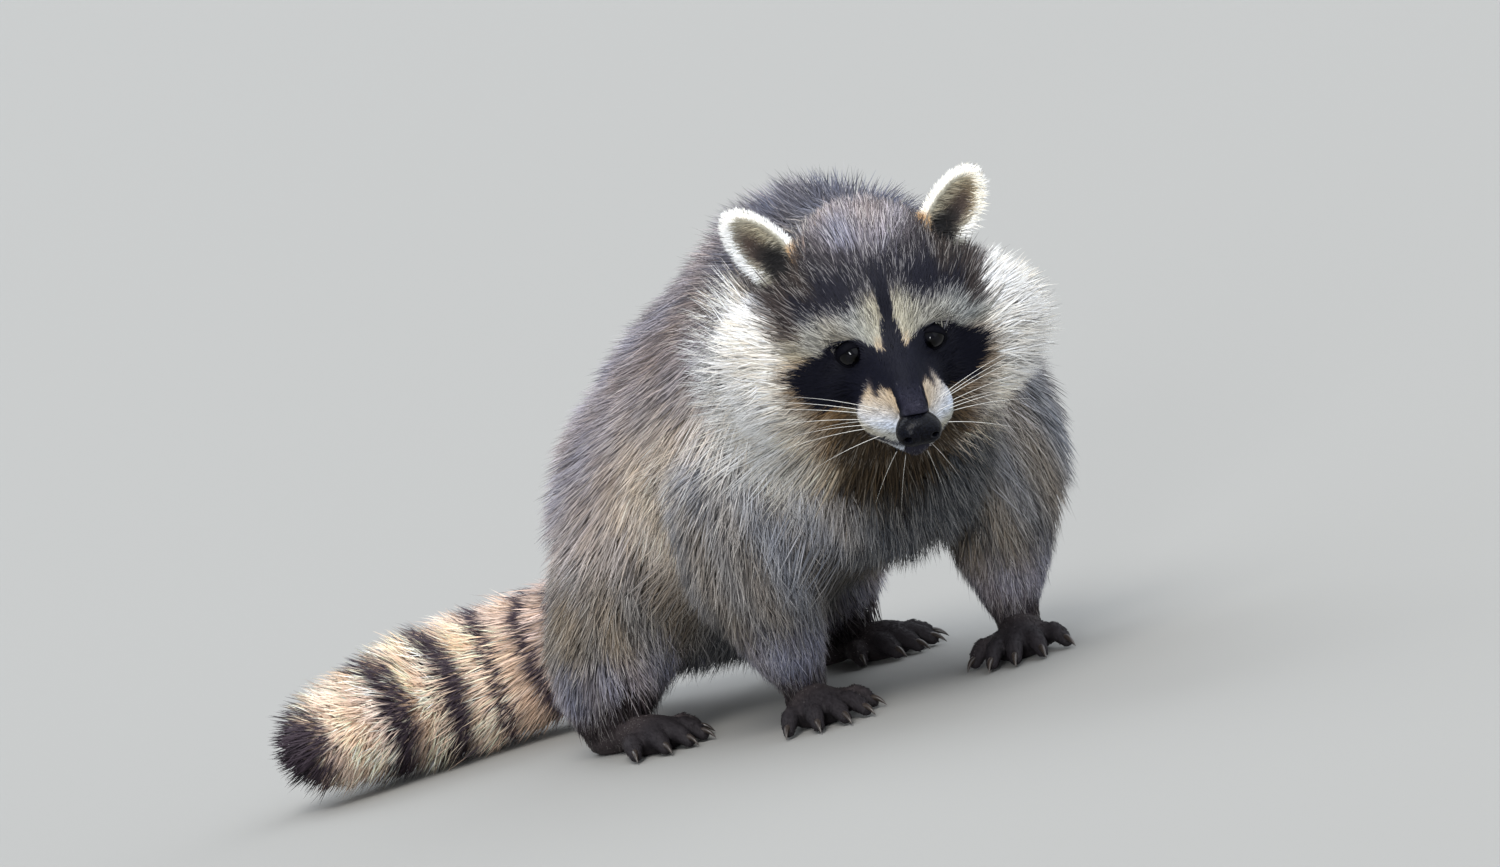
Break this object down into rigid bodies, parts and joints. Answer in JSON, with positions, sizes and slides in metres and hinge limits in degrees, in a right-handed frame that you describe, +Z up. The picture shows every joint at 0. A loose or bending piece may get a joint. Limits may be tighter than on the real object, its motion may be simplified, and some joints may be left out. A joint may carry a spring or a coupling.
{
  "type": "raccoon",
  "caption": "Life-size raccoon standing hunched on all fours, head low and turned to its right, ringed tail laid on the floor behind.",
  "frame": {"origin": "on the floor, under the centre of the whole animal's box", "axes": "+Z up from the floor; the trunk faces -Y, and its left side is towards +X"},
  "size_m": [0.3128, 0.5606, 0.2866],
  "materials": {
    "body_fur": "long grizzled grey-brown guard hair over a buff undercoat",
    "face_fur": "short to long fur: black mask and centre stripe, white brows, muzzle and ruffs",
    "ear_fur": "short fur, white rims and grey-brown insides",
    "tail_fur": "thick fur in dark and buff rings with a dark tip",
    "paw": "dark bare skin with short dark hair",
    "claw": "smooth dark horn",
    "eye": "wet, very dark brown",
    "nose": "moist black, finely pebbled"
  },
  "bodies": {
    "root": {"claw_forepaw_left_1": "claw", "claw_forepaw_left_2": "claw", "claw_forepaw_left_3": "claw", "claw_forepaw_left_4": "claw", "claw_forepaw_left_5": "claw", "claw_forepaw_right_1": "claw", "claw_forepaw_right_2": "claw", "claw_forepaw_right_3": "claw", "claw_forepaw_right_4": "claw", "claw_forepaw_right_5": "claw", "claw_hindpaw_left_1": "claw", "claw_hindpaw_left_2": "claw", "claw_hindpaw_left_3": "claw", "claw_hindpaw_left_4": "claw", "claw_hindpaw_left_5": "claw", "claw_hindpaw_right_1": "claw", "claw_hindpaw_right_2": "claw", "claw_hindpaw_right_3": "claw", "claw_hindpaw_right_4": "claw", "claw_hindpaw_right_5": "claw", "ear_left": "ear_fur", "ear_right": "ear_fur", "eye_left": "eye", "eye_right": "eye", "foreleg_left": "body_fur", "foreleg_right": "body_fur", "forepaw_left": "paw", "forepaw_right": "paw", "head": "face_fur", "hindleg_left": "body_fur", "hindleg_right": "body_fur", "hindpaw_left": "paw", "hindpaw_right": "paw", "neck": "body_fur", "nose": "nose", "tail_base": "tail_fur", "tail_middle": "tail_fur", "tail_tip": "tail_fur", "trunk": "body_fur"}
  },
  "joints": []
}
